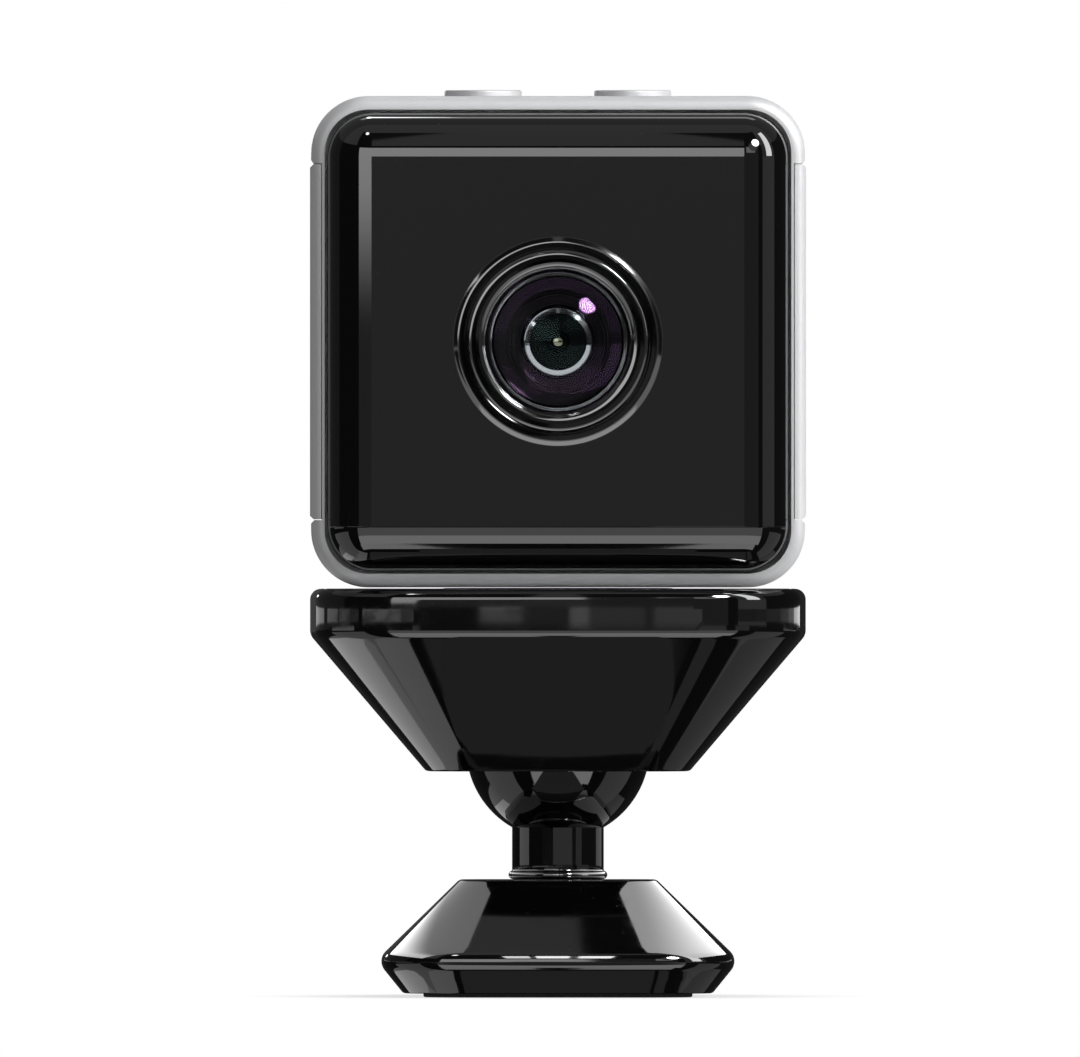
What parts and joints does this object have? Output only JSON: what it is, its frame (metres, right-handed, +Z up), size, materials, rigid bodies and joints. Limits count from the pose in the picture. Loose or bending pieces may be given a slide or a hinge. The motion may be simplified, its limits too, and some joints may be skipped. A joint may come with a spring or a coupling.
{
  "type": "security camera",
  "caption": "Small cube security camera with a domed front lens, top push buttons and a magnetic ball-joint stand on a weighted square foot.",
  "frame": {"origin": "on the surface that the foot's pad rests on, under the middle of the stem and of the overall box", "axes": "+Z up along the stem, -Y the way the lens looks, +X to the right as seen from the front"},
  "size_m": [0.032, 0.032, 0.0587],
  "materials": {
    "silver_metal": "satin anodised silver",
    "button_silver": "polished silver",
    "gloss_black": "mirror-gloss black",
    "panel_black": "gloss black that lets infrared through",
    "matt_black": "fine matt black",
    "black_rubber": "matt rubber",
    "lens_glass": "coated optical glass",
    "bright_steel": "plain steel",
    "magnet_nickel": "nickel plating",
    "natural_plastic": "natural white",
    "circuit_board": "green solder mask",
    "chip_black": "moulded epoxy",
    "battery_foil": "wrapped foil",
    "clear_plastic": "clear"
  },
  "bodies": {
    "base": {"base_shell": "gloss_black", "base_weight": "bright_steel", "base_plate": "matt_black", "base_pad": "black_rubber"},
    "stem": {"ball_stem": "gloss_black", "stem_screw": "bright_steel", "stem_washer": "bright_steel"},
    "ball_seat": {"pressure_cup": "natural_plastic"},
    "head": {"head_shell": "gloss_black", "ball_retainer": "matt_black", "retainer_screw_1": "bright_steel", "retainer_screw_2": "bright_steel", "retainer_screw_3": "bright_steel", "retainer_screw_4": "bright_steel", "head_magnet": "magnet_nickel", "head_cover": "gloss_black"},
    "turntable_pad": {"grip_pad": "black_rubber"},
    "camera": {"housing": "silver_metal", "left_side_panel": "silver_metal", "right_side_panel": "silver_metal", "front_panel": "panel_black", "rear_cover": "matt_black", "rear_screw_1": "bright_steel", "rear_screw_2": "bright_steel", "rear_screw_3": "bright_steel", "rear_screw_4": "bright_steel", "status_light": "clear_plastic", "steel_disc": "bright_steel", "lens_bezel": "gloss_black", "lens_barrel": "matt_black", "front_lens": "lens_glass", "second_lens": "lens_glass", "lens_stop": "matt_black", "rear_lens": "lens_glass", "lens_holder": "matt_black", "infrared_filter": "lens_glass", "image_sensor": "chip_black", "sensor_board": "circuit_board", "processor": "chip_black", "sensor_screw_1": "bright_steel", "sensor_screw_2": "bright_steel", "infrared_board": "circuit_board", "infrared_led_1": "clear_plastic", "infrared_led_2": "clear_plastic", "infrared_led_3": "clear_plastic", "infrared_led_4": "clear_plastic", "light_sensor": "chip_black", "main_board": "circuit_board", "radio_module": "bright_steel", "usb_port": "bright_steel", "memory_card_slot": "bright_steel", "battery_tray": "matt_black", "battery": "battery_foil", "antenna": "natural_plastic", "switch_board": "circuit_board", "power_switch": "chip_black", "reset_switch": "chip_black", "microphone": "bright_steel"},
    "power_button": {"power_button": "button_silver"},
    "reset_button": {"reset_button": "button_silver"}
  },
  "joints": [
    {"name": "stem_swivel", "type": "hinge", "parent": "base", "child": "stem", "pos_m": [0, 0, 0.0076], "axis": [0, 0, 1], "continuous": true},
    {"name": "ball_tilt_forward", "type": "hinge", "parent": "stem", "child": "ball_seat", "pos_m": [0, 0, 0.0161], "axis": [1, 0, 0], "range_deg": [-30, 30]},
    {"name": "ball_tilt_sideways", "type": "hinge", "parent": "ball_seat", "child": "head", "pos_m": [0, 0, 0.0161], "axis": [0, 1, 0], "range_deg": [-30, 30]},
    {"name": "camera_turn", "type": "hinge", "parent": "head", "child": "turntable_pad", "pos_m": [0, 0, 0.0264], "axis": [0, 0, 1], "continuous": true},
    {"name": "camera_lift", "type": "slide", "parent": "turntable_pad", "child": "camera", "axis": [0, 0, 1], "range_m": [0, 0.03]},
    {"name": "power_button_press", "type": "slide", "parent": "camera", "child": "power_button", "axis": [0, 0, -1], "range_m": [0, 0.0003], "stiffness_N_per_m": 400, "springref_m": -0.0003},
    {"name": "reset_button_press", "type": "slide", "parent": "camera", "child": "reset_button", "axis": [0, 0, -1], "range_m": [0, 0.0003], "stiffness_N_per_m": 400, "springref_m": -0.0003}
  ]
}
